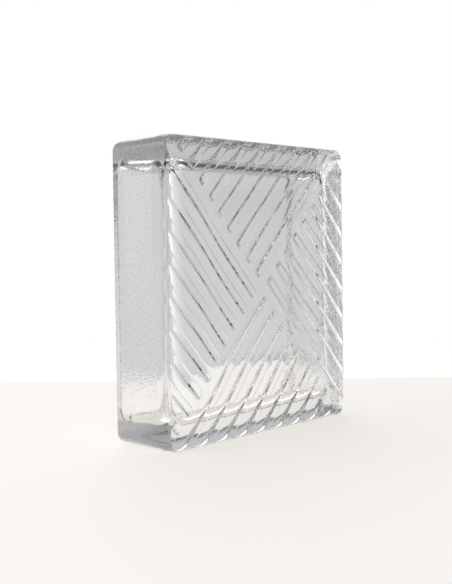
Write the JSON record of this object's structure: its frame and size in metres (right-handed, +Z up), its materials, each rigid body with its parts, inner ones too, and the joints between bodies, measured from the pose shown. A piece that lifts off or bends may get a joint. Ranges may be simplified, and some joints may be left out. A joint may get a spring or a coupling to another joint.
{
  "type": "glass block",
  "caption": "Square pressed glass half block with a thick face of slanted ribs in four turning fields and a wall round an open back.",
  "frame": {"origin": "on the floor under the middle of the block's bounding box", "axes": "+Z up, -Y out of the ribbed face, +Y out of the open back, +X to the right as the face is seen"},
  "size_m": [0.19, 0.0474, 0.19],
  "materials": {
    "clear_glass": "clear pressed glass, fire-polished, with rough side walls"
  },
  "bodies": {
    "root": {"glass_block": "clear_glass"}
  },
  "joints": []
}
